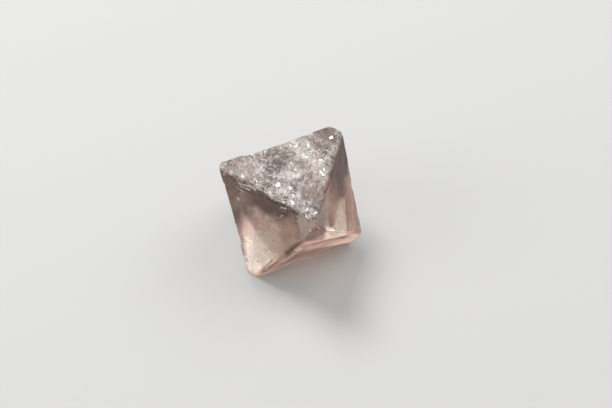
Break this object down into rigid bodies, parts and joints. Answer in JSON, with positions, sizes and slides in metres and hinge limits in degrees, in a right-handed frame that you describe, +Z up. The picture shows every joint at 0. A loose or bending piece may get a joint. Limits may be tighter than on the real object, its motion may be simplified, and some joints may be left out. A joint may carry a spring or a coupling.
{
  "type": "fluorite octahedron",
  "caption": "Loose cleaved octahedron of pale pink, clear to cloudy fluorite with a hackly top face, resting on one face.",
  "frame": {"origin": "on the surface that the stone rests on, under the middle of its box", "axes": "+Z up; -Y towards the viewer, the side with the long front edge between the two upper front faces; +X to the right"},
  "size_m": [0.0248, 0.0228, 0.0188],
  "materials": {
    "fluorite": "clear to cloudy, satin"
  },
  "bodies": {
    "root": {"fluorite_octahedron": "fluorite"}
  },
  "joints": []
}
